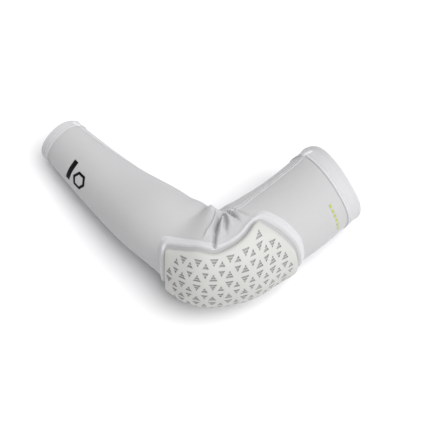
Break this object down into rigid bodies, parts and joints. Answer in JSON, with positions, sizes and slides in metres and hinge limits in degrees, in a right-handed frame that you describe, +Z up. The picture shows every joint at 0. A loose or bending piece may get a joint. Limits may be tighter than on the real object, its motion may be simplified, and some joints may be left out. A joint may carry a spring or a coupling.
{
  "type": "padded elbow sleeve",
  "caption": "Pale grey knit compression sleeve for the elbow, shown bent and filled as worn, with a moulded white foam pad round the elbow, hemmed ends and a lengthwise seam.",
  "frame": {"origin": "centre of the bounding box at the table that the sleeve lies on", "axes": "+Z up, at right angles to the plane the elbow bends in; the pad faces -Y, the forearm leg points to -X +Y and the upper arm leg to +X +Y"},
  "size_m": [0.3848, 0.2508, 0.1079],
  "materials": {
    "knit": "fine matt warp knit with a slight sheen, pale grey",
    "knit_upper": "the same knit, paler",
    "hem_cloth": "knit folded double and stitched flat",
    "elastic": "woven elastic tape",
    "silicone": "clear milky silicone grip",
    "sewing_thread": "white polyester thread, flatlock and cover stitch",
    "pad_foam": "moulded closed-cell foam with a smooth matt skin, off-white",
    "lining": "thin brushed knit",
    "rim_welt": "knit pulled over a raised edge",
    "black_print": "thin matt transfer print",
    "lime_print": "thin matt transfer print",
    "label": "plain satin tape"
  },
  "bodies": {
    "forearm": {"forearm_sleeve": "knit", "forearm_seam": "sewing_thread", "wrist_hem": "hem_cloth", "wrist_elastic": "elastic", "wrist_hem_stitching_inner": "sewing_thread", "wrist_hem_stitching_outer": "sewing_thread", "wrist_hem_tack": "sewing_thread", "wrist_print_bar": "black_print", "wrist_print_ring": "black_print"},
    "upper_arm": {"upper_arm_sleeve": "knit_upper", "elbow_sleeve": "knit", "upper_arm_seam": "sewing_thread", "elbow_seam": "sewing_thread", "upper_arm_hem": "hem_cloth", "upper_arm_grip_band": "silicone", "upper_hem_stitching_inner": "sewing_thread", "upper_hem_stitching_outer": "sewing_thread", "upper_hem_tack": "sewing_thread", "foam_pad": "pad_foam", "pad_backing": "lining", "pad_rim": "rim_welt", "care_label": "label", "cuff_print_dash_1": "lime_print", "cuff_print_dash_2": "lime_print", "cuff_print_dash_3": "lime_print", "cuff_print_dash_4": "lime_print", "cuff_print_dash_5": "lime_print", "cuff_print_dash_6": "lime_print"}
  },
  "joints": [
    {"name": "elbow_flex", "type": "hinge", "parent": "upper_arm", "child": "forearm", "pos_m": [0.01756, -0.06899, 0.054], "axis": [0, 0, 1], "range_deg": [-45, 86], "stiffness_Nm_per_rad": 0.018, "springref_deg": -8.19, "deforming": ["elbow_sleeve", "elbow_seam", "foam_pad", "pad_backing", "pad_rim"]}
  ]
}
